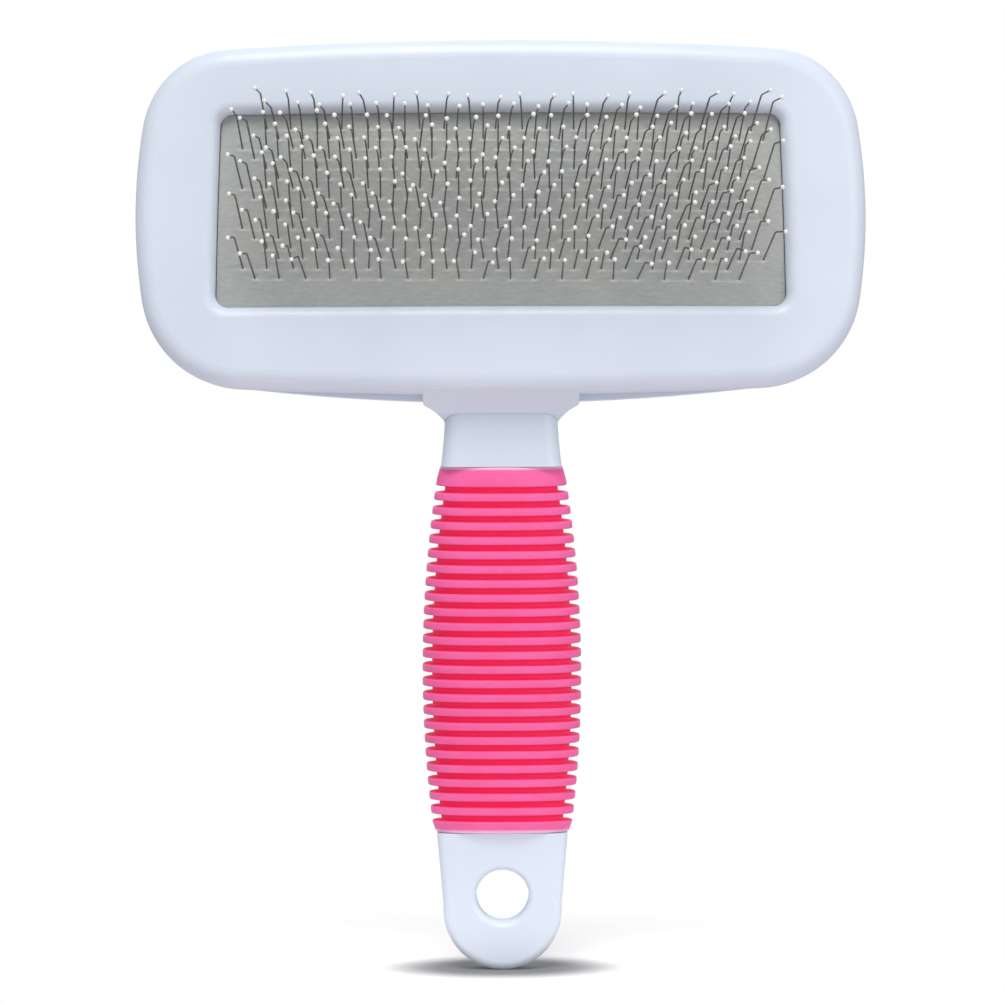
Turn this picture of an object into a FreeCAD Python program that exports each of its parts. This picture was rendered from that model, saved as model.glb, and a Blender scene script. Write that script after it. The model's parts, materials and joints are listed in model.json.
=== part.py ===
import FreeCAD, Part
import math
import os

from FreeCAD import Placement, Rotation, Vector

# A large slicker brush for pets, in millimetres.
# Origin: centre of the hanging hole, halfway through the tail's thickness.
# +Z runs up the handle to the head, +X is to the right, and the pins face -Y.
# "Depth" is the distance behind the apex of the head's bowed front face.

# ---- head: outline of tangent arcs, bowed about a vertical axis ----
head_front_y = -15.8
head_z = 137.0
head_half_width = 73.6
head_half_height = 35.6
head_side_radius = 109.0
head_corner_radius = 18.8
head_low_corner_radius = 20.8
head_top_radius = 1050.0
shell_low_half_height = 37.2
shell_bottom_radius = 440.0
bow_radius = 500.0
head_thickness = 20.0
parting_depth = 9.5
wall = 2.4
front_edge_radius = 4.0
back_edge_radius = 8.0
parting_round = 0.25
prism_front_y = head_front_y - 6.0
prism_length = head_thickness + 14.0
bow_cylinder_height = 120.0

# ---- window of the front frame: wider at the bottom than at the top ----
window_z = 138.3
window_half_height = 19.35
window_half_width_top = 56.1
window_half_width_bottom = 57.4
window_corner_radius = 2.6
lip_thickness = 3.0
lip_radius = 2.3
well_gap = 0.4
well_wall = 1.2
well_back_depth = 8.6
well_root = 0.4

# ---- floating pad: rubber facing bonded to a woven foundation, on foam ----
crown_radius = 150.0
pad_half_height = 21.25
pad_side_gap = 0.3
pad_lip_gap = 0.16
facing_thickness = 1.0
foundation_thickness = 1.4
foam_gap = 0.1
seat_depth = 11.0
seat_gap = 0.05
rib_thickness = 1.6
rib_spacing = 23.0
rib_root = 0.6

# ---- staples: bent wire, two legs each, set in sixteen rows ----
wire_radius = 0.175
ball_radius = 0.475
row_pitch = 2.0
row_count = 16
staples_per_row = 10
staple_pitch = 10.32
leg_spacing = 4.9
row_shift = 2.45
first_pin_x = -52.07
first_row_z = 124.55
row_slope = -0.006
twill = [1, 0, 3, 2]
knee_height = 7.7
tip_length = 6.3
first_lean = 26.0
edge_lean = 9.0
edge_pin_x = 50.0
tip_lean = -1.0
side_lean = 2.2
leg_splay = 2.9
knee_bend_radius = 1.3
crown_bend_radius = 0.6
crown_cover = 0.25

# ---- posts of the back shell and pins of the front frame ----
post_radius = 2.6
post_hole_radius = 1.35
pin_radius = 1.25
corner_post_x = 65.0
corner_post_z = 13.0
post_overlap = 0.6
post_front_gap = 1.4
tongue_post_x = 5.2
tongue_post_z = 109.0
pin_end_depth = 14.0

# ---- handle: a gentle arc, measured along Z ----
handle_bend_radius = 800.0
handle_bend_z = 24.4
neck_top_z = 102.0
neck_half_width_top = 11.3
neck_half_width_low = 12.2
neck_half_depth_top = 5.5
neck_half_depth_low = 6.2
neck_edge_radius = 3.0
tongue_half_width = 9.0
tongue_top_z = 114.4
tongue_depths = (8.4, 16.4)
tongue_hole_radius = 2.7
tongue_root = 2.0
tongue_gap = 0.3
tongue_gap_height = 8.0
neck_overlap = 0.05
bar_overrun = 0.6
collar_half_width = 15.65
collar_top_z = 104.5
collar_step_z = 99.5
collar_low_z = 96.1
collar_lip_z = 97.7
collar_lip_depth = 7.0
collar_shelf = 2.8
collar_front_depth = 2.0
collar_hollow = (2.6, 1.7)
cove_start = 60.0
collar_gap = 0.1
collar_back_top_z = 113.0
collar_back_radius = 3.0
snap_lip_height = 1.6
snap_lip_thickness = 1.2
snap_lip_root = 0.4
snap_lip_reach = 2.0

# ---- grip: barrel of rubber rings over a cored plastic bar ----
grip_low_z = 12.9
grip_top_z = 87.3
grip_belly_z = 45.7
grip_half_width = 16.15
grip_half_depth = 11.4
grip_width_radius = 250.0
grip_depth_radius = 177.0
grip_end_inset = 0.5
grip_end_length = 3.6
grip_section_power = 2.7
groove_count = 24
groove_low_z = 15.9
groove_top_z = 82.6
groove_width = 1.35
groove_depth = 1.95
sleeve_bore_inset = 2.6
core_gap = 0.1
pocket_count = 5
pocket_low_z = 19.0
pocket_top_z = 81.0
pocket_rib = 2.4
pocket_side_wall = 2.4
pocket_half_web = 1.1

# ---- tail with the hanging hole ----
hole_radius = 5.35
hole_rim_radius = 1.2
tail_end_radius = 12.0
tail_end_z = -3.0
tail_draft = 4.8
tail_half_depths = [(13.2, 6.6), (0.0, 4.6), (-16.0, 3.4)]
tail_edge_radius = 1.6

bow_axis_y = head_front_y + bow_radius
pad_centre_depth = lip_thickness + pad_lip_gap - window_half_height ** 2 / (2.0 * crown_radius)


# ---------------------------------------------------------------- helpers

def save(name, shape):
    problem = not shape.isValid() or not shape.Solids
    print(name, "solids", len(shape.Solids), "volume", round(shape.Volume, 1), "BAD" if problem else "")
    shape.exportStep("parts/" + name + ".step")


def arc_about(cx, cz, radius, start, end, y):
    points = []
    for angle in (start, (start + end) / 2.0, end):
        points.append(Vector(cx + radius * math.cos(angle), y, cz + radius * math.sin(angle)))
    return Part.Arc(points[0], points[1], points[2]).toShape()


def corner_arc(half_width, half_height, side_radius, corner_radius, end_radius):
    # The corner arc is tangent inside both the side arc and the top or bottom arc.
    side_x = half_width - side_radius
    end_z = half_height - end_radius
    reach_side = side_radius - corner_radius
    reach_end = end_radius - corner_radius
    span = math.hypot(side_x, end_z)
    along = (reach_side ** 2 - reach_end ** 2 + span ** 2) / (2.0 * span)
    across = math.sqrt(reach_side ** 2 - along ** 2)
    ux = -side_x / span
    uz = end_z / span
    cx = side_x + ux * along - uz * across
    cz = uz * along + ux * across
    side_angle = math.atan2(cz, cx - side_x)
    end_angle = math.atan2(cz - end_z, cx)
    return cx, cz, side_angle, end_angle


def half_outline(half_height, end_radius, inset, sign, y):
    w = head_half_width - inset
    h = half_height - inset
    rs = head_side_radius - inset
    rc = (head_corner_radius if sign > 0 else head_low_corner_radius) - inset
    re = end_radius - inset
    cx, cz, side_angle, end_angle = corner_arc(w, h, rs, rc, re)
    edges = [
        arc_about(w - rs, 0.0, rs, 0.0, side_angle, y),
        arc_about(cx, cz, rc, side_angle, end_angle, y),
        arc_about(0.0, h - re, re, end_angle, math.pi - end_angle, y),
        arc_about(-cx, cz, rc, math.pi - end_angle, math.pi - side_angle, y),
        arc_about(rs - w, 0.0, rs, math.pi - side_angle, math.pi, y),
    ]
    if sign < 0:
        edges = [edge.mirror(Vector(0, 0, 0), Vector(0, 0, 1)) for edge in edges]
    return edges


def head_prism(low_half_height, low_radius, inset):
    upper = half_outline(head_half_height, head_top_radius, inset, 1, prism_front_y)
    lower = half_outline(low_half_height, low_radius, inset, -1, prism_front_y)
    wire = Part.Wire(Part.__sortEdges__(upper + lower))
    face = Part.Face(wire)
    face.translate(Vector(0, 0, head_z))
    return face.extrude(Vector(0, prism_length, 0))


def bow_cylinder(depth):
    base = Vector(0, bow_axis_y, head_z - bow_cylinder_height / 2.0)
    return Part.makeCylinder(bow_radius - depth, bow_cylinder_height, base, Vector(0, 0, 1))


def between_depths(shape, front, back):
    return shape.common(bow_cylinder(front)).cut(bow_cylinder(back))


def edges_at_depth(shape, depth):
    radius = bow_radius - depth
    found = []
    for edge in shape.Edges:
        middle = edge.valueAt((edge.FirstParameter + edge.LastParameter) / 2.0)
        points = [vertex.Point for vertex in edge.Vertexes] + [middle]
        gaps = [abs(math.hypot(p.x, p.y - bow_axis_y) - radius) for p in points]
        if max(gaps) < 0.001:
            found.append(edge)
    return found


def window_prism(side_gap, half_height, corner_radius):
    # A trapezium seen from the front; its slanted sides carry on above and below the window.
    slope = (window_half_width_bottom - window_half_width_top) / (2.0 * window_half_height)
    middle = (window_half_width_bottom + window_half_width_top) / 2.0 - side_gap
    top = middle - slope * half_height
    bottom = middle + slope * half_height
    corners = [
        Vector(-bottom, prism_front_y, window_z - half_height),
        Vector(bottom, prism_front_y, window_z - half_height),
        Vector(top, prism_front_y, window_z + half_height),
        Vector(-top, prism_front_y, window_z + half_height),
    ]
    face = Part.Face(Part.makePolygon(corners + corners[:1]))
    prism = face.extrude(Vector(0, prism_length, 0))
    if corner_radius > 0:
        sides = [e for e in prism.Edges if abs(e.tangentAt(e.FirstParameter).y) > 0.99]
        prism = prism.makeFillet(corner_radius, sides)
    return prism


def y_cylinder(radius, x, z, front, back):
    base = Vector(x, head_front_y + front, z)
    return Part.makeCylinder(radius, back - front, base, Vector(0, 1, 0))


def post_places():
    places = [(-tongue_post_x, tongue_post_z), (tongue_post_x, tongue_post_z)]
    for x in (-corner_post_x, corner_post_x):
        for z in (head_z - corner_post_z, head_z + corner_post_z):
            places.append((x, z))
    return places


# ---------------------------------------------------------------- handle

def lean_at(z):
    return math.asin((z - handle_bend_z) / handle_bend_radius)


def axis_y(z):
    def sag(height):
        return handle_bend_radius - math.sqrt(handle_bend_radius ** 2 - height ** 2)
    return sag(handle_bend_z) - sag(z - handle_bend_z)


def station(z):
    # Frame square to the handle's curved axis at height z.
    turn = Rotation(Vector(1, 0, 0), math.degrees(lean_at(z)))
    return Placement(Vector(0, axis_y(z), z), turn)


def rounded_rectangle(half_width, half_depth, radius, z):
    box = Part.makePlane(2 * half_width, 2 * half_depth, Vector(-half_width, -half_depth, 0))
    prism = box.extrude(Vector(0, 0, 1))
    sides = [e for e in prism.Edges if abs(e.tangentAt(e.FirstParameter).z) > 0.99]
    prism = prism.makeFillet(radius, sides)
    low = [f for f in prism.Faces if f.CenterOfMass.z < 0.001][0]
    wire = low.OuterWire
    wire.Placement = station(z)
    return wire


def oval(half_width, half_depth, z):
    # Superellipse: |x/a|^n + |y/b|^n = 1, a rectangle with very round corners.
    count = 32
    place = station(z)
    points = []
    for i in range(count):
        angle = 2.0 * math.pi * i / count
        c = math.cos(angle)
        s = math.sin(angle)
        x = half_width * math.copysign(abs(c) ** (2.0 / grip_section_power), c)
        y = half_depth * math.copysign(abs(s) ** (2.0 / grip_section_power), s)
        points.append(place.multVec(Vector(x, y, 0)))
    curve = Part.BSplineCurve()
    curve.interpolate(points, PeriodicFlag=True)
    return Part.Wire([curve.toShape()])


def grip_size(z, inset):
    fall = (z - grip_belly_z) ** 2 / 2.0
    near = min(z - grip_low_z, grip_top_z - z)
    ease = max(0.0, 1.0 - near / grip_end_length)
    shrink = inset + grip_end_inset * ease ** 2
    return (grip_half_width - fall / grip_width_radius - shrink,
            grip_half_depth - fall / grip_depth_radius - shrink)


def grip_slab(low, high, inset):
    sections = []
    for z in (low, high):
        half_width, half_depth = grip_size(z, inset)
        sections.append(oval(half_width, half_depth, z))
    return Part.makeLoft(sections, True, True)


def station_box(half_width, low_y, high_y, z, height):
    box = Part.makeBox(2 * half_width, high_y - low_y, height, Vector(-half_width, low_y, -height / 2.0))
    box.Placement = station(z)
    return box


def build_grip_sleeve():
    # A stack of slabs, each groove's floor sunk below the rings on either side of it.
    step = (groove_top_z - groove_low_z) / (groove_count - 1)
    slabs = []
    low = grip_low_z
    for i in range(groove_count):
        middle = groove_low_z + i * step
        groove_foot = middle - groove_width / 2.0
        groove_head = middle + groove_width / 2.0
        slabs += ring_slabs(low, groove_foot)
        slabs.append(grip_slab(groove_foot, groove_head, groove_depth))
        low = groove_head
    slabs += ring_slabs(low, grip_top_z)
    sleeve = slabs[0].fuse(slabs[1:])
    return sleeve.cut(core_bar(core_gap)).removeSplitter()


def ring_slabs(low, high):
    # The two end bands are eased at their outer ends, so they take a few slabs.
    count = 4 if low == grip_low_z or high == grip_top_z else 1
    step = (high - low) / count
    return [grip_slab(low + i * step, low + (i + 1) * step, 0.0) for i in range(count)]


def core_bar(grow):
    # Runs a little past both ends of the sleeve, into the neck and the tail.
    inset = sleeve_bore_inset - grow
    heights = [grip_low_z - bar_overrun, grip_low_z + grip_end_length, 24.0, 35.0, 46.0, 57.0, 68.0, 77.0]
    heights += [grip_top_z - grip_end_length, grip_top_z + bar_overrun]
    sections = []
    for z in heights:
        inside = min(max(z, grip_low_z), grip_top_z)
        half_width, half_depth = grip_size(inside, inset)
        sections.append(oval(half_width, half_depth, z))
    return Part.makeLoft(sections, True, False)


def core_pockets():
    pitch = (pocket_top_z - pocket_low_z) / pocket_count
    boxes = []
    deep = 2.0 * grip_half_depth
    for i in range(pocket_count):
        z = pocket_low_z + (i + 0.5) * pitch
        half_width = grip_size(z, sleeve_bore_inset)[0] - pocket_side_wall
        height = pitch - pocket_rib
        boxes.append(station_box(half_width, pocket_half_web, deep, z, height))
        boxes.append(station_box(half_width, -deep, -pocket_half_web, z, height))
    return boxes


def neck_bar(grow):
    stations = [
        (grip_top_z + neck_overlap, neck_half_width_low, neck_half_depth_low),
        (collar_low_z, neck_half_width_top + 0.1, neck_half_depth_top + 0.15),
        (neck_top_z + grow, neck_half_width_top, neck_half_depth_top),
    ]
    sections = []
    for z, half_width, half_depth in stations:
        sections.append(rounded_rectangle(half_width + grow, half_depth + grow, neck_edge_radius + grow, z))
    return Part.makeLoft(sections, True, False)


def build_tongue():
    front, back = tongue_depths
    low = neck_top_z - tongue_root
    corner = Vector(-tongue_half_width, head_front_y + front, low)
    tongue = Part.makeBox(2 * tongue_half_width, back - front, tongue_top_z - low, corner)
    for x in (-tongue_post_x, tongue_post_x):
        tongue = tongue.cut(y_cylinder(tongue_hole_radius, x, tongue_post_z, front - 1.0, back + 1.0))
    return tongue


def build_tail():
    draft = math.radians(tail_draft)
    reach = 20.0
    tangent = Vector(tail_end_radius * math.cos(draft), 0, tail_end_z + tail_end_radius * math.sin(draft))
    top = tangent + Vector(reach * math.tan(draft), 0, reach)
    left_top = Vector(-top.x, 0, top.z)
    left_tangent = Vector(-tangent.x, 0, tangent.z)
    edges = [
        Part.makeLine(left_top, left_tangent),
        arc_about(0.0, tail_end_z, tail_end_radius, math.pi - draft, 2 * math.pi + draft, 0.0),
        Part.makeLine(tangent, top),
        Part.makeLine(top, left_top),
    ]
    face = Part.Face(Part.Wire(edges))
    face.translate(Vector(0, -reach, 0))
    outline = face.extrude(Vector(0, 2 * reach, 0))
    sections = []
    for z, half_depth in tail_half_depths:
        plane = Part.makePlane(2 * reach, 2 * half_depth, Vector(-reach, -half_depth, 0))
        wire = plane.OuterWire
        wire.Placement = station(z)
        sections.append(wire)
    wedge = Part.makeLoft(sections, True, False)
    tail = outline.common(wedge)
    tail = tail.cut(station_box(reach, -reach, reach, grip_low_z - neck_overlap + reach / 2.0, reach))
    rim = [e for e in tail.Edges if runs_round_the_face(e)]
    tail = tail.makeFillet(tail_edge_radius, rim)
    tail = tail.cut(Part.makeCylinder(hole_radius, 2 * reach, Vector(0, -reach, 0), Vector(0, 1, 0)))
    mouth = [e for e in tail.Edges if goes_round_the_hole(e)]
    return tail.makeFillet(hole_rim_radius, mouth)


def runs_round_the_face(edge):
    # The front and back outlines of the tail, not its four short edges nor its top.
    middle = edge.valueAt((edge.FirstParameter + edge.LastParameter) / 2.0)
    tangent = edge.tangentAt((edge.FirstParameter + edge.LastParameter) / 2.0)
    return abs(tangent.y) < 0.9 and middle.z < grip_low_z - 1.0


def goes_round_the_hole(edge):
    middle = edge.valueAt((edge.FirstParameter + edge.LastParameter) / 2.0)
    near = abs(math.hypot(middle.x, middle.z) - hole_radius) < 0.01
    tangent = edge.tangentAt((edge.FirstParameter + edge.LastParameter) / 2.0)
    return near and abs(tangent.y) < 0.9


def build_handle():
    core = core_bar(0.0)
    for pocket in core_pockets():
        core = core.cut(pocket)
    return neck_bar(0.0).fuse([core, build_tongue(), build_tail()]).removeSplitter()


# ---------------------------------------------------------------- head mouldings

def collar_prism(top_z):
    # Seen from the front the collar narrows to the neck in two hollow curves.
    y = head_front_y + collar_front_depth
    w = collar_half_width
    n = neck_half_width_top + 0.2
    across, down = collar_hollow
    middle_z = collar_step_z - down
    corners = [Vector(-w, y, collar_step_z), Vector(-w, y, top_z)]
    corners += [Vector(w, y, top_z), Vector(w, y, collar_step_z)]
    edges = list(Part.makePolygon(corners).Edges)
    for side in (1, -1):
        step = Vector(side * w, y, collar_step_z)
        hollow = Vector(side * (w - across), y, middle_z)
        edges.append(Part.Arc(step, hollow, Vector(side * n, y, collar_low_z)).toShape())
    edges.append(Part.makeLine(Vector(n, y, collar_low_z), Vector(-n, y, collar_low_z)))
    face = Part.Face(Part.Wire(Part.__sortEdges__(edges)))
    return face.extrude(Vector(0, head_thickness - collar_front_depth, 0))


def back_collar():
    # The rear half is rounded along its two sides and runs up into the shell's back.
    collar = collar_prism(collar_back_top_z)
    back_y = head_front_y + head_thickness
    sides = []
    for edge in collar.Edges:
        middle = edge.valueAt((edge.FirstParameter + edge.LastParameter) / 2.0)
        if abs(middle.y - back_y) < 0.001 and abs(middle.x) > neck_half_width_top:
            sides.append(edge)
    collar = collar.makeFillet(collar_back_radius, sides)
    return collar.common(bow_cylinder(parting_depth))


def cove_tool():
    # Everything in front of the hollow curve that leaves the head's rounded lower edge without a
    # step and runs down to the collar's lip, and of the slope behind it on both sides of the neck.
    x = -1.5 * collar_half_width
    front = head_front_y - 1.0
    turn = math.radians(cove_start)
    rise = front_edge_radius * (1.0 - math.sin(turn))
    start_depth = front_edge_radius * (1.0 - math.cos(turn))
    high = Vector(x, head_front_y + start_depth, head_z - head_half_height + rise)
    lip = Vector(x, head_front_y + collar_lip_depth, collar_lip_z)
    chord = lip - high
    behind = Vector(0, -chord.z, chord.y).normalize()
    turned = turn - math.atan2(chord.y, -chord.z)
    middle = (high + lip) * 0.5 + behind * (chord.Length / 2.0 * math.tan(turned / 2.0))
    shelf = Vector(x, lip.y + collar_shelf, collar_low_z)
    low = Vector(x, shelf.y, collar_low_z - 1.0)
    corners = [lip, shelf, low, Vector(x, front, low.z), Vector(x, front, high.z), high]
    edges = [Part.Arc(high, middle, lip).toShape()] + Part.makePolygon(corners).Edges
    return Part.Face(Part.Wire(edges)).extrude(Vector(-2.0 * x, 0, 0))


def build_front_frame():
    outline = head_prism(head_half_height, head_top_radius, 0.0)
    frame = between_depths(outline, 0.0, parting_depth)
    frame = frame.makeFillet(front_edge_radius, edges_at_depth(frame, 0.0))
    frame = frame.makeFillet(parting_round, edges_at_depth(frame, parting_depth))
    collar = collar_prism(collar_top_z).cut(cove_tool()).cut(bow_cylinder(parting_depth))
    frame = frame.fuse(collar)
    inside = head_prism(head_half_height, head_top_radius, wall)
    frame = frame.cut(between_depths(inside, lip_thickness, parting_depth + 1.0))
    frame = frame.cut(window_prism(0.0, window_half_height, window_corner_radius))
    beyond = window_half_width_bottom + 2.0
    rim = [e for e in edges_at_depth(frame, 0.0) if e.BoundBox.XMax < beyond and e.BoundBox.XMin > -beyond]
    frame = frame.makeFillet(lip_radius, rim)
    well = window_prism(-well_wall, pad_half_height + well_gap + well_wall, 0.0)
    well = well.cut(window_prism(0.0, pad_half_height + well_gap, 0.0))
    well = between_depths(well, lip_thickness - well_root, well_back_depth)
    additions = [well]
    for x, z in post_places():
        additions.append(y_cylinder(pin_radius, x, z, lip_thickness - well_root + bow_drop(x), pin_end_depth))
    frame = frame.fuse(additions)
    return frame.cut([neck_bar(collar_gap), tongue_clearance()])


def bow_drop(x):
    return bow_radius - math.sqrt(bow_radius ** 2 - x ** 2)


def foam_seat_ribs():
    low = window_z - pad_half_height
    high = window_z + pad_half_height
    y = head_front_y
    deep = 1.5 * head_thickness
    half = 2.5 * rib_spacing
    ribs = []
    for i in range(-2, 3):
        corner = Vector(i * rib_spacing - rib_thickness / 2.0, y, low)
        ribs.append(Part.makeBox(rib_thickness, deep, high - low, corner))
    for z in (low, window_z - rib_thickness / 2.0, high - rib_thickness):
        ribs.append(Part.makeBox(2 * half, deep, rib_thickness, Vector(-half, y, z)))
    grid = ribs[0].fuse(ribs[1:])
    return between_depths(grid, seat_depth + seat_gap, head_thickness - wall + rib_root)


def snap_lip():
    # A thin lip that stands inside the front frame's skirt, on a root that joins it to the wall.
    def ring(outer_inset, front, back):
        outside = head_prism(head_half_height, head_top_radius, outer_inset)
        hole = head_prism(head_half_height, head_top_radius, wall + core_gap + snap_lip_thickness)
        return between_depths(outside.cut(hole), front, back)
    end = parting_depth + snap_lip_reach
    lip = ring(wall + core_gap, parting_depth - snap_lip_height, end)
    return lip.fuse(ring(wall - snap_lip_root, parting_depth + snap_lip_root, end))


def build_back_shell():
    outline = head_prism(shell_low_half_height, shell_bottom_radius, 0.0)
    shell = between_depths(outline, parting_depth, head_thickness)
    shell = shell.makeFillet(back_edge_radius, edges_at_depth(shell, head_thickness))
    shell = shell.makeFillet(parting_round, edges_at_depth(shell, parting_depth))
    shell = shell.fuse(back_collar())
    inside = head_prism(head_half_height, head_top_radius, wall)
    room = between_depths(inside, parting_depth - 1.0, head_thickness - wall)
    room = room.makeFillet(back_edge_radius - wall, edges_at_depth(room, head_thickness - wall))
    shell = shell.cut(room)
    shell = shell.fuse([snap_lip(), foam_seat_ribs()])
    for x, z in post_places():
        front = parting_depth - post_front_gap + bow_drop(x)
        post = y_cylinder(post_radius, x, z, front, head_thickness - wall + post_overlap + bow_drop(x))
        shell = shell.fuse(post)
    for x, z in post_places():
        shell = shell.cut(y_cylinder(post_hole_radius, x, z, 0.0, pin_end_depth + post_overlap))
    return shell.cut([neck_bar(collar_gap), tongue_clearance()]).removeSplitter()


def tongue_clearance():
    # The neck's way through the rim and the lower wall.
    front, back = tongue_depths
    half = tongue_half_width + tongue_gap
    corner = Vector(-half, head_front_y + front - tongue_gap, neck_top_z - tongue_root)
    return Part.makeBox(2 * half, back - front + 2 * tongue_gap, tongue_gap_height, corner)


# ---------------------------------------------------------------- pad

def pad_normal(x, z):
    turn = x / bow_radius
    tip = (z - window_z) / crown_radius
    return Vector(math.sin(turn) * math.cos(tip), -math.cos(turn) * math.cos(tip), math.sin(tip))


def pad_point(x, z, below):
    # A point under the crowned and bowed facing, "below" deep along the normal.
    turn = x / bow_radius
    reach = bow_radius - pad_centre_depth - crown_radius
    base = Vector(reach * math.sin(turn), bow_axis_y - reach * math.cos(turn), window_z)
    return base + pad_normal(x, z) * (crown_radius - below)


def crowned_layer(front, back):
    # A sheet between two depths below the facing; a flat-backed one if back is None.
    low = window_z - pad_half_height
    high = window_z + pad_half_height
    front_arc = [pad_point(0, z, front) for z in (low, window_z, high)]
    edges = [Part.Arc(front_arc[0], front_arc[1], front_arc[2]).toShape()]
    if back is None:
        flat_y = head_front_y + seat_depth
        rear_arc = [Vector(0, flat_y, low), Vector(0, flat_y, high)]
        edges.append(Part.makeLine(rear_arc[0], rear_arc[1]))
    else:
        rear_arc = [pad_point(0, z, back) for z in (low, window_z, high)]
        edges.append(Part.Arc(rear_arc[0], rear_arc[1], rear_arc[2]).toShape())
    edges.append(Part.makeLine(front_arc[0], rear_arc[0]))
    edges.append(Part.makeLine(rear_arc[-1], front_arc[-1]))
    face = Part.Face(Part.Wire(Part.__sortEdges__(edges)))
    half_turn = math.degrees((window_half_width_bottom + 2.0) / bow_radius)
    axis_point = Vector(0, bow_axis_y, 0)
    face.rotate(axis_point, Vector(0, 0, 1), -half_turn)
    layer = face.revolve(axis_point, Vector(0, 0, 1), 2 * half_turn)
    return layer.common(window_prism(pad_side_gap, pad_half_height + 3.0, 0.0))


# ---------------------------------------------------------------- staples

def leaned(x, z, lean, splay):
    # Direction of a leg: leaning up the pad, and splayed sideways.
    out = pad_normal(x, z)
    turn = x / bow_radius
    side = Vector(math.cos(turn), math.sin(turn), 0)
    up = out.cross(side)
    tilt = out + up * math.tan(math.radians(lean)) + side * math.tan(math.radians(splay))
    return tilt.normalize()


def leg_points(x, z, splay):
    # Legs near the pad's ends lean up a little more than those in the middle.
    base = pad_point(x, z, 0.0)
    lean = first_lean + edge_lean * (x / edge_pin_x) ** 4
    first = leaned(x, z, lean, splay + side_lean)
    second = leaned(x, z, tip_lean, splay + side_lean)
    straight = math.cos(math.radians(lean))
    buried = facing_thickness + foundation_thickness - crown_cover
    root = base - first * (buried / straight)
    knee = base + first * (knee_height / straight)
    return root, knee, knee + second * tip_length


def rounded_path(points, radii):
    edges = []
    start = points[0]
    for i in range(1, len(points) - 1):
        corner = points[i]
        back = (points[i - 1] - corner).normalize()
        ahead = (points[i + 1] - corner).normalize()
        half_angle = back.getAngle(ahead) / 2.0
        cut = radii[i - 1] / math.tan(half_angle)
        enter = corner + back * cut
        leave = corner + ahead * cut
        centre = corner + (back + ahead).normalize() * (radii[i - 1] / math.sin(half_angle))
        middle = centre + (corner - centre).normalize() * radii[i - 1]
        edges.append(Part.makeLine(start, enter))
        edges.append(Part.Arc(enter, middle, leave).toShape())
        start = leave
    edges.append(Part.makeLine(start, points[-1]))
    return Part.Wire(edges)


def build_staple(x, z):
    left_root, left_knee, left_tip = leg_points(x, z, -leg_splay)
    right_root, right_knee, right_tip = leg_points(x + leg_spacing, z, leg_splay)
    points = [left_tip, left_knee, left_root, right_root, right_knee, right_tip]
    radii = [knee_bend_radius, crown_bend_radius, crown_bend_radius, knee_bend_radius]
    path = rounded_path(points, radii)
    circle = Part.makeCircle(wire_radius, left_tip, left_knee - left_tip)
    wire = path.makePipeShell([Part.Wire([circle])], True, True)
    tips = [Part.makeSphere(ball_radius, left_tip), Part.makeSphere(ball_radius, right_tip)]
    return wire, tips


def build_row(row):
    z = first_row_z + row * row_pitch
    start = first_pin_x + twill[row % len(twill)] * row_shift
    wires = []
    tips = []
    for i in range(staples_per_row):
        x = start + i * staple_pitch
        wire, beads = build_staple(x, z + row_slope * x)
        wires.append(wire)
        tips += beads
    return Part.makeCompound(wires), Part.makeCompound(tips)


# ---------------------------------------------------------------- build

os.makedirs("parts", exist_ok=True)

save("front_frame", build_front_frame())
save("back_shell", build_back_shell())
save("handle", build_handle())
save("grip_sleeve", build_grip_sleeve())

pad_back = facing_thickness + foundation_thickness
save("pad_facing", crowned_layer(0.0, facing_thickness))
save("pad_foundation", crowned_layer(facing_thickness, pad_back))
save("foam_cushion", crowned_layer(pad_back + foam_gap, None))

for row_number in range(row_count):
    row_wires, row_tips = build_row(row_number)
    save("pin_row_%02d" % (row_number + 1), row_wires)
    save("pin_tips_%02d" % (row_number + 1), row_tips)
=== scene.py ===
import json
import math

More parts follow.
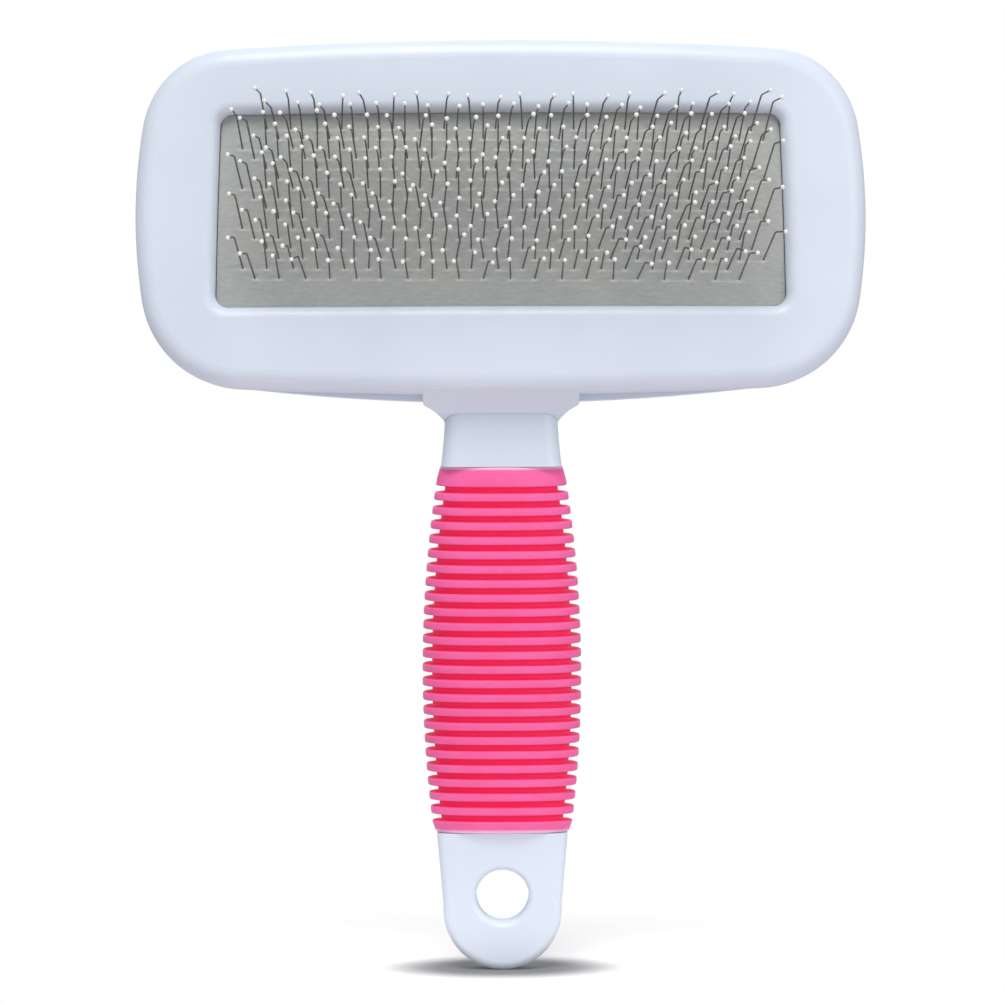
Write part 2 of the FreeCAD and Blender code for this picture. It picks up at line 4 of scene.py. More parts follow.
import bpy
import numpy as np
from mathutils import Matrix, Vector

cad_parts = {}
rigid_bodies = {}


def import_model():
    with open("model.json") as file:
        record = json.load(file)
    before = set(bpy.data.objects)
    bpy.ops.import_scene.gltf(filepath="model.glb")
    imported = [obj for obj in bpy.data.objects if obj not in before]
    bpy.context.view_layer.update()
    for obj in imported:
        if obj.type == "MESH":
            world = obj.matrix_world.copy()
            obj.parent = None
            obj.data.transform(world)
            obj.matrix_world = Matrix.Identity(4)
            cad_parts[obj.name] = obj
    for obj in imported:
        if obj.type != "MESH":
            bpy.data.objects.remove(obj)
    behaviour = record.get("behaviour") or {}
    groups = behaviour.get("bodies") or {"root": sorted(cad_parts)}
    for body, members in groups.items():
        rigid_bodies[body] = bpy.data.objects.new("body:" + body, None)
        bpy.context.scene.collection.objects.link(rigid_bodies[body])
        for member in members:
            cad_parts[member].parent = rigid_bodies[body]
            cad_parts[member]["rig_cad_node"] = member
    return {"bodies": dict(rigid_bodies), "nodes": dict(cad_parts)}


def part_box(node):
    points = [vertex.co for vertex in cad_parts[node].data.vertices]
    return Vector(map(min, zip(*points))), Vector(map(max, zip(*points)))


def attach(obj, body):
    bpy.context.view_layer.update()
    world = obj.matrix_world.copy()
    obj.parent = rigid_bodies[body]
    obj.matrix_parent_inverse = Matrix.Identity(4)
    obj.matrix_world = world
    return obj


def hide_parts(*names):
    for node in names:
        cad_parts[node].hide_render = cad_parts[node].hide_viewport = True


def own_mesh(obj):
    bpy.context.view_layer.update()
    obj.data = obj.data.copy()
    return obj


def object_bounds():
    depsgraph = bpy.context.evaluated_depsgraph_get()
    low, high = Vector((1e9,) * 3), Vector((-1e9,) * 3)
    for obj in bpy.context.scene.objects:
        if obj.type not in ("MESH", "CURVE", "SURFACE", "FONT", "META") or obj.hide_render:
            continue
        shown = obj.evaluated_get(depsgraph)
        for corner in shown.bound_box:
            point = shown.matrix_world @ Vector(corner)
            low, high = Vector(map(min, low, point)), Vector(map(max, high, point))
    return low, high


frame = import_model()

# whatever the empty file came with goes, so that only the part is measured
for stray in list(bpy.context.scene.objects):
    if "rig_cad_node" not in stray and stray not in frame["bodies"].values():
        bpy.data.objects.remove(stray)
bpy.context.view_layer.update()
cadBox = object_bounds()
nodes = frame["nodes"]
mm = 0.001
noiseEnds = (0.35, 0.65)        # noise seldom leaves these, so a colour ramp spans them
noiseSpan = (0.3, 0.7)          # the same for a plain value, a little wider
waveBand = 0.314                # length of one band of a wave texture at scale 1
print("frame loaded")


def meshFromArrays(name, points, quads, material, sharpAngle=40):
    # points: n x 3 in metres; quads: m x 4 vertex numbers, turned outwards by the sign of the volume
    corner = points[quads]
    centre = corner.mean(axis=1)
    spread = np.cross(corner[:, 2] - corner[:, 0], corner[:, 3] - corner[:, 1])
    if np.einsum("ij,ij->", centre, spread) < 0:
        quads = quads[:, ::-1]
    mesh = bpy.data.meshes.new(name)
    mesh.vertices.add(len(points))
    mesh.vertices.foreach_set("co", points.astype(np.float32).ravel())
    mesh.loops.add(quads.size)
    mesh.loops.foreach_set("vertex_index", quads.astype(np.int32).ravel())
    mesh.polygons.add(len(quads))
    mesh.polygons.foreach_set("loop_start", np.arange(0, quads.size, 4, dtype=np.int32))
    mesh.update(calc_edges=True)
    mesh.polygons.foreach_set("use_smooth", np.ones(len(quads), bool))
    mesh.set_sharp_from_angle(angle=math.radians(sharpAngle))
    mesh.materials.append(material)
    piece = bpy.data.objects.new(name, mesh)
    bpy.context.scene.collection.objects.link(piece)
    return piece


def storeValues(piece, name, values):
    # one number per vertex, read by the material
    layer = piece.data.attributes.new(name, "FLOAT", "POINT")
    layer.data.foreach_set("value", np.ascontiguousarray(values, np.float32).ravel())


def gridQuads(rows, columns, closeRows=False, closeColumns=False):
    # quads between neighbours of a rows x columns grid, joined round where closed
    i = np.arange(rows if closeRows else rows - 1)[:, None]
    j = np.arange(columns if closeColumns else columns - 1)[None, :]
    below = (i + 1) % rows
    right = (j + 1) % columns
    ring = [i * columns + j, i * columns + right, below * columns + right, below * columns + j]
    return np.stack(ring, -1).reshape(-1, 4)


def slabArrays(front, back):
    # a front grid and a back grid of the same size, joined by a rim round all four edges
    rows, columns = front.shape[:2]
    count = rows * columns
    number = np.arange(count).reshape(rows, columns)
    loop = np.concatenate([number[0, :-1], number[:-1, -1], number[-1, :0:-1], number[:0:-1, 0]])
    ahead = np.roll(loop, -1)
    face = gridQuads(rows, columns)
    rim = np.stack([loop, loop + count, ahead + count, ahead], -1)
    quads = np.concatenate([face, face[:, ::-1] + count, rim])
    return np.concatenate([front.reshape(-1, 3), back.reshape(-1, 3)]), quads


def place(piece, body, slotName, *replaced):
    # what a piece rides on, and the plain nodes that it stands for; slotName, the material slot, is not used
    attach(piece, body)
    if replaced:
        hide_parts(*replaced)
    return piece


def linear(hexColour):
    # sRGB hex to linear RGBA: a straight line near black, then a power of 2.4
    values = [int(hexColour[i:i + 2], 16) / 255 for i in (1, 3, 5)]
    return [v / 12.92 if v <= 0.04045 else ((v + 0.055) / 1.055) ** 2.4 for v in values] + [1.0]


def addNode(tree, kind, settings=None, **links):
    # settings name attributes or inputs; links give an input's name, with underscores for spaces, its source socket
    node = tree.nodes.new(kind)
    for name, value in (settings or {}).items():
        if isinstance(name, str) and hasattr(node, name):
            setattr(node, name, value)
        else:
            node.inputs[name].default_value = value
    for name, source in links.items():
        key = int(name[1:]) if name[0] == "i" and name[1:].isdigit() else name.replace("_", " ")
        tree.links.new(source, node.inputs[key])
    return node


def newMaterial(name, shaderSettings):
    # a Principled material, with its tree, its shader and the piece's own coordinates to build on
    material = bpy.data.materials.new(name)
    material.use_nodes = True
    tree = material.node_tree
    shader = tree.nodes["Principled BSDF"]
    for key, value in shaderSettings.items():
        shader.inputs[key].default_value = value
    where = addNode(tree, "ShaderNodeTexCoord").outputs["Object"]
    return material, tree, shader, where


def noiseBetween(tree, where, size, low, high, detail=3.0):
    # noise with features about "size" metres across, as a colour between two hex colours
    noise = addNode(tree, "ShaderNodeTexNoise", {"Scale": 1 / size, "Detail": detail}, Vector=where)
    ramp = addNode(tree, "ShaderNodeValToRGB", Fac=noise.outputs["Fac"])
    ramp.color_ramp.elements[0].position = noiseEnds[0]
    ramp.color_ramp.elements[0].color = linear(low)
    ramp.color_ramp.elements[1].position = noiseEnds[1]
    ramp.color_ramp.elements[1].color = linear(high)
    return ramp.outputs["Color"]


def noiseRange(tree, where, size, low, high, detail=3.0):
    # the same noise as a plain value between low and high
    noise = addNode(tree, "ShaderNodeTexNoise", {"Scale": 1 / size, "Detail": detail}, Vector=where)
    ranged = addNode(tree, "ShaderNodeMapRange",
                     {"From Min": noiseSpan[0], "From Max": noiseSpan[1], "To Min": low, "To Max": high},
                     Value=noise.outputs["Fac"])
    return ranged.outputs["Result"]


def bumpChain(tree, shader, *layers):
    # each layer is (height socket, distance in metres, strength)
    normal = None
    for height, distance, strength in layers:
        bump = addNode(tree, "ShaderNodeBump", {"Distance": distance, "Strength": strength}, Height=height)
        if normal:
            tree.links.new(normal, bump.inputs["Normal"])
        normal = bump.outputs["Normal"]
    tree.links.new(normal, shader.inputs["Normal"])


absLook = {
    "light": "#E3EBF8",        # cool white, tinted a little blue
    "shade": "#DEE7F5",
    "grain": 0.35 * mm,        # spark-eroded mould skin, drawn three times coarser than real so that it shows
    "ripple": 14 * mm,         # slow sink and flow waves left by cooling
    "cloud": 22 * mm,          # patches of the two whites
    "polish": 9 * mm,          # patches of more and less shine
}


def mouldedAbs():
    # injection-moulded ABS: satin skin, so highlights are broad and soft, and the flats are never quite flat
    material, tree, shader, where = newMaterial("mouldedWhiteAbs", {"IOR": 1.54, "Metallic": 0.0})
    colour = noiseBetween(tree, where, absLook["cloud"], absLook["shade"], absLook["light"], 2.0)
    tree.links.new(colour, shader.inputs["Base Color"])
    tree.links.new(noiseRange(tree, where, absLook["polish"], 0.33, 0.41), shader.inputs["Roughness"])
    grain = addNode(tree, "ShaderNodeTexNoise", {"Scale": 1 / absLook["grain"], "Detail": 2.0}, Vector=where)
    ripple = addNode(tree, "ShaderNodeTexNoise", {"Scale": 1 / absLook["ripple"], "Detail": 1.0}, Vector=where)
    bumpChain(tree, shader, (ripple.outputs["Fac"], 0.25 * mm, 0.35), (grain.outputs["Fac"], 0.012 * mm, 0.35))
    return material


tprLook = {
    "face": "#FF6EB0",
    "deep": "#FF66A7",
    "groove": "#FF4284",       # painted bounce light and shade: the floors, lit only by their own red walls, are painted redder and darker
    "through": 0.10,           # painted glow: emission in the groove floors, standing in for light that reaches them through the rings' soft translucent rubber
    "glow": "#FF1E4C",         # and its colour
    "thin": "#FFC9E2",         # painted highlight along the rounded rim at both ends
    "grain": 0.30 * mm,
    "wave": 5 * mm,
    "cloud": 7 * mm,
    "polish": 3 * mm,
}


def mouldedTpr():
    # soft thermoplastic rubber, moulded in place: dull grip skin that turns light at glancing angles
    material, tree, shader, where = newMaterial(
        "mouldedPinkTpr", {"IOR": 1.5, "Sheen Weight": 0.1, "Sheen Roughness": 0.45, "Specular IOR Level": 0.3,
                           "Subsurface Weight": 0.2, "Subsurface Radius": (1.0, 0.25, 0.4),
                           "Subsurface Scale": 0.7 * mm})
    skin = noiseBetween(tree, where, tprLook["cloud"], tprLook["deep"], tprLook["face"])
    sunk = addNode(tree, "ShaderNodeAttribute", {"attribute_name": "grooveDepth"})
    # painted rim highlight at both ends of the sleeve
    thin = addNode(tree, "ShaderNodeAttribute", {"attribute_name": "thinEdge"})
    # painted bounce light and shade in the groove floors
    grooved = addNode(tree, "ShaderNodeMix", {"data_type": "RGBA", 7: linear(tprLook["groove"])},
                      i0=sunk.outputs["Fac"], i6=skin)
    edged = addNode(tree, "ShaderNodeMix", {"data_type": "RGBA", 7: linear(tprLook["thin"])},
                    i0=thin.outputs["Fac"], i6=grooved.outputs[2])
    tree.links.new(edged.outputs[2], shader.inputs["Base Color"])
    # painted glow in the groove floors, standing in for light through the translucent rubber
    through = addNode(tree, "ShaderNodeMath", {"operation": "MULTIPLY", 1: tprLook["through"]}, i0=sunk.outputs["Fac"])
    tree.links.new(through.outputs["Value"], shader.inputs["Emission Strength"])
    shader.inputs["Emission Color"].default_value = linear(tprLook["glow"])
    tree.links.new(noiseRange(tree, where, tprLook["polish"], 0.5, 0.64), shader.inputs["Roughness"])
    grain = addNode(tree, "ShaderNodeTexNoise", {"Scale": 1 / tprLook["grain"], "Detail": 3.0}, Vector=where)
    wave = addNode(tree, "ShaderNodeTexNoise", {"Scale": 1 / tprLook["wave"], "Detail": 1.0}, Vector=where)
    bumpChain(tree, shader, (wave.outputs["Fac"], 0.1 * mm, 0.4), (grain.outputs["Fac"], 0.02 * mm, 0.5))
    return material


facingLook = {
    "cool": "#AFB3B1",
    "warm": "#B9B9B3",
    "liftHighlight": "#E2E3DE",    # painted highlight where a pin or a staple's crown lifts the rubber
    "fleck": 0.45 * mm,
    "fleckDark": "#9DA2A0",
    "fleckPale": "#C4C7C4",
    "fleckShare": 0.25,
    "cloud": 16 * mm,
    "polish": 2 * mm,
    "streak": 4.0,             # how much longer the cloth print is across than along the calender's travel
}


def calenderedRubber():
    # rolled natural rubber facing: matte grey, finely mottled, with a faint cloth print from the roller
    material, tree, shader, where = newMaterial("calenderedGreyRubber", {"IOR": 1.52, "Specular IOR Level": 0.4})
    broad = noiseBetween(tree, where, facingLook["cloud"], facingLook["cool"], facingLook["warm"], 2.0)
    drawn = addNode(tree, "ShaderNodeMapping", {"Scale": (1 / facingLook["streak"], 1.0, 1.0)}, Vector=where)
    fleck = noiseBetween(tree, drawn.outputs["Vector"], facingLook["fleck"], facingLook["fleckDark"],
                         facingLook["fleckPale"], 2.0)
    mixed = addNode(tree, "ShaderNodeMix", {"data_type": "RGBA", "Factor": facingLook["fleckShare"]},
                    i6=broad, i7=fleck)
    # painted highlight on the lips and ridges lifted by the pins
    liftHighlightMask = addNode(tree, "ShaderNodeAttribute", {"attribute_name": "liftHighlightMask"})
    paler = addNode(tree, "ShaderNodeMix", {"data_type": "RGBA", 7: linear(facingLook["liftHighlight"])},
                    i0=liftHighlightMask.outputs["Fac"], i6=mixed.outputs[2])
    tree.links.new(paler.outputs[2], shader.inputs["Base Color"])
    tree.links.new(noiseRange(tree, where, facingLook["polish"], 0.48, 0.62), shader.inputs["Roughness"])
    grain = addNode(tree, "ShaderNodeTexNoise", {"Scale": 1 / facingLook["fleck"], "Detail": 3.0},
                    Vector=drawn.outputs["Vector"])
    bumpChain(tree, shader, (grain.outputs["Fac"], 0.05 * mm, 0.6))
    return material


steelLook = {
    "dark": "#6E6C66",
    "pale": "#989690",
    "stain": 0.25 * mm,
    "polish": 0.2 * mm,
    "dieLine": 0.15 * mm,
    "drawnOut": 0.08,          # the pattern's scale along the pins, so marks run about twelve times longer
}


def drawnSteel():
    # hard-drawn and tempered pin wire: warm dark grey, half-bright, streaked along its length by the die
    material, tree, shader, where = newMaterial("drawnSteelWire", {"Metallic": 1.0})
    along = addNode(tree, "ShaderNodeMapping", {"Scale": (1.0, steelLook["drawnOut"], 1.0)}, Vector=where)
    colour = noiseBetween(tree, along.outputs["Vector"], steelLook["stain"], steelLook["dark"], steelLook["pale"])
    tree.links.new(colour, shader.inputs["Base Color"])
    shine = noiseRange(tree, along.outputs["Vector"], steelLook["polish"], 0.28, 0.42)
    tree.links.new(shine, shader.inputs["Roughness"])
    streak = addNode(tree, "ShaderNodeTexNoise", {"Scale": 1 / steelLook["dieLine"]}, Vector=along.outputs["Vector"])
    bumpChain(tree, shader, (streak.outputs["Fac"], 0.004 * mm, 0.4))
    return material


resinLook = {
    "shade": "#F1F1EC",
    "light": "#FBFBF8",
    "cloud": 0.5 * mm,
    "polish": 0.4 * mm,
}


def curedResin():
    # dipped and cured epoxy bead: white, glossy, slightly uneven
    material, tree, shader, where = newMaterial("curedWhiteResin", {"IOR": 1.5})
    colour = noiseBetween(tree, where, resinLook["cloud"], resinLook["shade"], resinLook["light"])
    tree.links.new(colour, shader.inputs["Base Color"])
    tree.links.new(noiseRange(tree, where, resinLook["polish"], 0.18, 0.3), shader.inputs["Roughness"])
    dip = addNode(tree, "ShaderNodeTexNoise", {"Scale": 1 / resinLook["cloud"]}, Vector=where)
    bumpChain(tree, shader, (dip.outputs["Fac"], 0.02 * mm, 0.4))
    return material


clothLook = {
    "gap": "#8E836C",
    "thread": "#CFC5AD",
    "pitch": 0.55 * mm,
    "waver": 0.6,
}


def wovenCotton():
    # plies of cotton cloth glued together: unbleached threads that pass over and under each other
    material, tree, shader, where = newMaterial("wovenCottonPly", {"Sheen Weight": 0.3, "Roughness": 0.85})
    threads = {"Scale": waveBand / clothLook["pitch"], "Distortion": clothLook["waver"]}
    warp = addNode(tree, "ShaderNodeTexWave", {"bands_direction": "X", **threads}, Vector=where)
    weft = addNode(tree, "ShaderNodeTexWave", {"bands_direction": "Z", **threads}, Vector=where)
    over = addNode(tree, "ShaderNodeMath", {"operation": "MAXIMUM"}, i0=warp.outputs["Fac"], i1=weft.outputs["Fac"])
    ramp = addNode(tree, "ShaderNodeValToRGB", Fac=over.outputs["Value"])
    ramp.color_ramp.elements[0].color = linear(clothLook["gap"])
    ramp.color_ramp.elements[1].color = linear(clothLook["thread"])
    tree.links.new(ramp.outputs["Color"], shader.inputs["Base Color"])
    bumpChain(tree, shader, (over.outputs["Value"], 0.15 * mm, 0.7))
    return material


foamLook = {
    "wall": "#EFE6CC",
    "hollow": "#A89C7C",
    "hollowFrom": 0.4,         # how far in from its walls the painted shade in a cell is full
    "cell": 1.0 * mm,
}


def openCellFoam():
    # cut polyurethane foam: cream walls round open cells, with painted shade darkening the cells' hollows
    material, tree, shader, where = newMaterial("openCellFoam", {"Roughness": 0.9, "Subsurface Weight": 0.0})
    cells = addNode(tree, "ShaderNodeTexVoronoi", {"feature": "DISTANCE_TO_EDGE", "Scale": 1 / foamLook["cell"]},
                    Vector=where)
    ramp = addNode(tree, "ShaderNodeValToRGB", Fac=cells.outputs["Distance"])
    ramp.color_ramp.elements[0].color = linear(foamLook["wall"])
    ramp.color_ramp.elements[1].color = linear(foamLook["hollow"])
    ramp.color_ramp.elements[1].position = foamLook["hollowFrom"]
    tree.links.new(ramp.outputs["Color"], shader.inputs["Base Color"])
    bumpChain(tree, shader, (cells.outputs["Distance"], 0.4 * mm, 0.8))
    return material


whiteAbs = mouldedAbs()
pinkTpr = mouldedTpr()
greyRubber = calenderedRubber()
steelWire = drawnSteel()
whiteResin = curedResin()
cottonPly = wovenCotton()
foamCells = openCellFoam()
for name, material in (("front_frame", whiteAbs), ("back_shell", whiteAbs), ("handle", whiteAbs),
                       ("pad_foundation", cottonPly)):
    nodes[name].data.materials.clear()
    nodes[name].data.materials.append(material)
print("materials ready")


sleeve = {
    "bend": 800.0, "bendHeight": 24.4,      # the handle's gentle arc
    "low": 12.9, "top": 87.3, "belly": 45.7,
    "halfWidth": 16.15, "halfDepth": 11.4,
    "widthRadius": 250.0, "depthRadius": 177.0,
    "power": 2.7,                           # superellipse: 2 is an ellipse, higher is squarer
    "firstGroove": 15.9, "lastGroove": 82.6, "grooves": 24,
    # half of one drafted groove: height from its middle, and depth; the other half mirrors it
    "halfGroove": [(-0.94, 0.02), (-0.85, 0.04), (-0.77, 0.11), (-0.72, 0.25), (-0.68, 0.65), (-0.64, 1.2),
                   (-0.58, 1.7), (-0.43, 1.9), (-0.18, 1.95)],
    "crest": 1.45,                          # a ring's middle, above the groove's
    # each end's rounding: height from the end, and inset
    "lowEnd": [(0.0, 0.62), (0.04, 0.54), (0.12, 0.48), (0.3, 0.42), (0.45, 0.38), (0.8, 0.3), (1.4, 0.17),
               (1.9, 0.07)],
    "topEnd": [(2.6, 0.05), (2.0, 0.12), (1.3, 0.2), (0.8, 0.26), (0.6, 0.29), (0.45, 0.3), (0.28, 0.33),
               (0.1, 0.41), (0.03, 0.5), (0.0, 0.62)],
    "bore": 2.5, "boreRows": 24,
    "columns": 144, "sharp": 50,
    "thinEnd": 0.66, "thinFade": 0.3,       # how far from an end the painted rim highlight reaches, and how it fades
    "paintFrom": 0.4, "paintFade": 1.2,     # the depth where the groove's painted bounce light, shade and glow start, and how they grow
    "plainEnd": 1.5,                        # none of the groove's painted light, shade and glow this near an end
}


def barrelSection(z, inset, turns):
    # superellipse |x/a|^n + |y/b|^n = 1 in polar form, its half sizes falling off the belly along two circles
    fall = (z - sleeve["belly"]) ** 2 / 2
    a = sleeve["halfWidth"] - fall / sleeve["widthRadius"] - inset
    b = sleeve["halfDepth"] - fall / sleeve["depthRadius"] - inset
    angle = np.arctan2(b * np.sin(turns), a * np.cos(turns))
    c, s = np.cos(angle), np.sin(angle)
    reach = (np.abs(c / a) ** sleeve["power"] + np.abs(s / b) ** sleeve["power"]) ** (-1 / sleeve["power"])
    return reach * c, reach * s


def alongHandle(x, y, z):
    # a point (x, y) of the section at height z, tilted square to the handle's arc, in metres
    rise = z - sleeve["bendHeight"]
    start = sleeve["bend"] - math.sqrt(sleeve["bend"] ** 2 - sleeve["bendHeight"] ** 2)
    sag = sleeve["bend"] - np.sqrt(sleeve["bend"] ** 2 - rise ** 2)
    tilt = np.arcsin(rise / sleeve["bend"])
    return np.stack([x, start - sag + y * np.cos(tilt), z + y * np.sin(tilt)], -1) * mm


def makeSleeve():
    # profile of height and inset, carried round the section: rounded end, grooves and crests, rounded end, and the
    # bore back down
    half = sleeve["halfGroove"]
    groove = np.array(half + [(-dz, inset) for dz, inset in half[::-1]] + [(sleeve["crest"], 0.0)])
    centres = np.linspace(sleeve["firstGroove"], sleeve["lastGroove"], sleeve["grooves"])
    insets = np.broadcast_to(groove[None, :, 1], (len(centres), len(groove)))
    ribs = np.stack([centres[:, None] + groove[None, :, 0], insets], -1)
    ribs = ribs.reshape(-1, 2)[:-1]
    bottom = np.array(sleeve["lowEnd"])
    top = np.array(sleeve["topEnd"])
    bore = np.linspace(sleeve["top"], sleeve["low"], sleeve["boreRows"])
    profile = np.concatenate([
        np.stack([sleeve["low"] + bottom[:, 0], bottom[:, 1]], -1), ribs,
        np.stack([sleeve["top"] - top[:, 0], top[:, 1]], -1),
        np.stack([bore, np.full(sleeve["boreRows"], sleeve["bore"])], -1)])
    turns = np.linspace(0, 2 * math.pi, sleeve["columns"], endpoint=False)[None, :]
    z = np.repeat(profile[:, :1], sleeve["columns"], 1)
    x, y = barrelSection(z, profile[:, 1:], turns)
    points = alongHandle(x, y, z).reshape(-1, 3)
    quads = gridQuads(len(profile), sleeve["columns"], closeRows=True, closeColumns=True)
    piece = meshFromArrays("gripSleeve", points, quads, pinkTpr, sleeve["sharp"])
    fromEnd = np.minimum(z - sleeve["low"], sleeve["top"] - z)
    # painted rim highlight near both ends
    storeValues(piece, "thinEdge", np.clip((sleeve["thinEnd"] - fromEnd) / sleeve["thinFade"], 0, 1))
    # groove depth, which drives the painted bounce light, shade and glow in the groove floors
    sunk = np.clip((profile[:, 1:] - sleeve["paintFrom"]) / sleeve["paintFade"], 0, 1)
    storeValues(piece, "grooveDepth", sunk * (fromEnd > sleeve["plainEnd"]))
    return piece


place(makeSleeve(), "holder", "pink_tpr", "grip_sleeve")
print("sleeve made")


facingLow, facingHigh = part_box("pad_facing")
pad = {
    "bow": 500.0, "crown": 150.0,
    "front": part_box("front_frame")[0].y / mm,
    "middle": (facingLow.z + facingHigh.z) / 2 / mm,
    "apex": facingLow.y / mm,
    "halfHeight": 21.15,
    "halfWidth": 56.6, "narrowing": 0.0332,     # narrower towards the top
    "thickness": 1.0,
    "columns": 230, "rows": 212,
    # raised lip under each pin's root: height, half sizes across and up, and how far below the root it lies
    "lip": 0.24, "lipSize": (0.55, 0.3), "lipDrop": 0.42,
    # dent above each root
    "dent": -0.2, "dentSize": (0.5, 0.42), "dentRise": 0.3,
    # low ridge over the crown behind, from leg to leg
    "ridge": 0.07, "ridgeSize": (2.6, 0.2), "ridgeDrop": 0.5,
    "rowReach": 3.0,                # only this much of the sheet is touched by one row
    "palest": 0.8,
    "tuckShare": 0.004, "tuck": 0.18,           # the sides turn down this deep in this share of the half width
}
cushion = {
    "front": 2.5, "back": 11.0,     # below the pad's face and below the head's front
    "inset": 0.1,
    "round": 0.9, "sidePower": 40, "endPower": 16,      # a higher power keeps the rounding nearer the edge
    "columns": 70, "rows": 30,
}
staples = {
    "rows": 16, "pitch": 2.0, "firstRow": -13.75, "perRow": 10, "spacing": 10.32, "legs": 4.9, "shift": 2.45,
    "firstPin": -52.07, "twill": [1, 0, 3, 2], "rowSlope": -0.006,
    "wire": 0.175, "bead": 0.455,
    "knee": 7.7, "tip": 6.3, "lean": 26.0, "edgeLean": 9.0, "edgePin": 50.0, "tipLean": -1.0,
    "splay": 2.9, "sideLean": 2.2,
    "kneeRadius": 1.3, "kneeShare": 0.4, "crownRadius": 0.6, "buried": 2.15,
    "sides": 6, "ballSquares": 3, "sharp": 80,
    "unevenLean": 1.7, "unevenSplay": 1.5, "unevenTip": 2.0, "unevenLength": 0.22, "unevenBead": 0.04,
    "seed": 400,
}


def padSurface(x, z, below):
    # an arc of the crown radius in the YZ plane, turned about the bow's vertical axis; in millimetres
    axisY = pad["front"] + pad["bow"]
    reach = axisY - pad["apex"] - pad["crown"]
    rho = reach + np.sqrt((pad["crown"] - below) ** 2 - (z - pad["middle"]) ** 2)
    return np.stack([x, axisY - np.sqrt(rho ** 2 - x ** 2), z], -1)


def pinBases(row):
    # x and z of the left and right legs of one row's staples, along the pad's face
    z = pad["middle"] + staples["firstRow"] + row * staples["pitch"]
    start = staples["firstPin"] + staples["twill"][row % 4] * staples["shift"]
    left = start + np.arange(staples["perRow"]) * staples["spacing"]
    return left, z + staples["rowSlope"] * left


def padFrame(x, z):
    # outward, sideways and upward directions of the face at arc place x and height z
    turn = x / pad["bow"]
    tip = (z - pad["middle"]) / pad["crown"]
    out = np.stack([np.sin(turn) * np.cos(tip), -np.cos(turn) * np.cos(tip), np.sin(tip)], -1)
    side = np.stack([np.cos(turn), np.sin(turn), np.zeros_like(turn)], -1)
    return out, side, np.cross(out, side)


def padFace(x, z):
    # the point of the face at arc place x and height z: the crown's centre line, then out by its radius
    turn = x / pad["bow"]
    axisY = pad["front"] + pad["bow"]
    reach = axisY - pad["apex"] - pad["crown"]
    base = np.stack([reach * np.sin(turn), axisY - reach * np.cos(turn), np.full_like(x, pad["middle"])], -1)
    return base + padFrame(x, z)[0] * pad["crown"]


def hump(across, up, height, size, power=2):
    # height times a bell curve in both directions, flatter on top across where the power is higher
    return height * np.exp(-(across / size[0]) ** power - (up / size[1]) ** 2)


def makeFacing():
    # the crowned sheet, lifted in a small lip under each pin and along each staple's crown behind it
    across = np.linspace(-1, 1, pad["columns"])[None, :]
    z = pad["middle"] + np.linspace(-pad["halfHeight"], pad["halfHeight"], pad["rows"])[:, None] + across * 0
    x = across * (pad["halfWidth"] - pad["narrowing"] * (z - pad["middle"]))
    lift = np.zeros_like(x)
    for row in range(staples["rows"]):
        left, height = pinBases(row)
        spots = np.concatenate([padFace(left, height), padFace(left + staples["legs"], height)])
        near = np.abs(z[:, 0] - spots[:, 2].mean()) < pad["rowReach"]
        dx = x[near][..., None] - spots[:, 0]
        dz = z[near][..., None] - spots[:, 2]
        lip = hump(dx, dz + pad["lipDrop"], pad["lip"], pad["lipSize"])
        dent = hump(dx, dz - pad["dentRise"], pad["dent"], pad["dentSize"])
        fromCrown = dx[..., :staples["perRow"]] - staples["legs"] / 2
        below = dz[..., :staples["perRow"]] + pad["ridgeDrop"]
        ridge = hump(fromCrown, below, pad["ridge"], pad["ridgeSize"], 4)
        lift[near] += (lip + dent).sum(-1) + ridge.sum(-1)
    edge = np.minimum(1 - np.abs(across), pad["tuckShare"]) / pad["tuckShare"]
    # painted highlight: paler where the sheet is lifted, up to the palest share
    liftHighlightMask = np.clip(lift / pad["lip"], 0, pad["palest"])
    lift = lift - pad["tuck"] * (1 - edge) ** 2
    front = padSurface(x, z, 0.0)
    front[..., 1] -= lift
    back = padSurface(x, z, pad["thickness"])
    points, quads = slabArrays(front * mm, back * mm)
    piece = meshFromArrays("padFacing", points, quads, greyRubber)
    storeValues(piece, "liftHighlightMask", np.concatenate([liftHighlightMask.ravel(), np.zeros(liftHighlightMask.size)]))
    return piece


def makeFoam():
    # the cushion between the pad's back and the shell's seat, its edges rounded where it was cut soft
    u = np.linspace(-1, 1, cushion["columns"])[None, :]
    v = np.linspace(-1, 1, cushion["rows"])[:, None]
    z = pad["middle"] + v * (pad["halfHeight"] - cushion["inset"]) + u * 0
    x = u * (pad["halfWidth"] - pad["narrowing"] * (z - pad["middle"]) - cushion["inset"])
    axisY = pad["front"] + pad["bow"]
    front = padSurface(x, z, cushion["front"])
    rear = axisY - np.sqrt((pad["bow"] - cushion["back"]) ** 2 - x ** 2)
    rounding = cushion["round"] * (np.abs(u) ** cushion["sidePower"] + np.abs(v) ** cushion["endPower"]).clip(0, 1)
    front[..., 1] += rounding
    back = np.stack([x, rear - rounding, z], -1)
    points, quads = slabArrays(front * mm, back * mm)
    return meshFromArrays("foamCushion", points, quads, foamCells)


place(makeFacing(), "pad", "grey_rubber", "pad_facing")
foam = place(makeFoam(), "holder", "foam", "foam_cushion")
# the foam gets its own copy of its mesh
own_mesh(foam)
print("pad made")


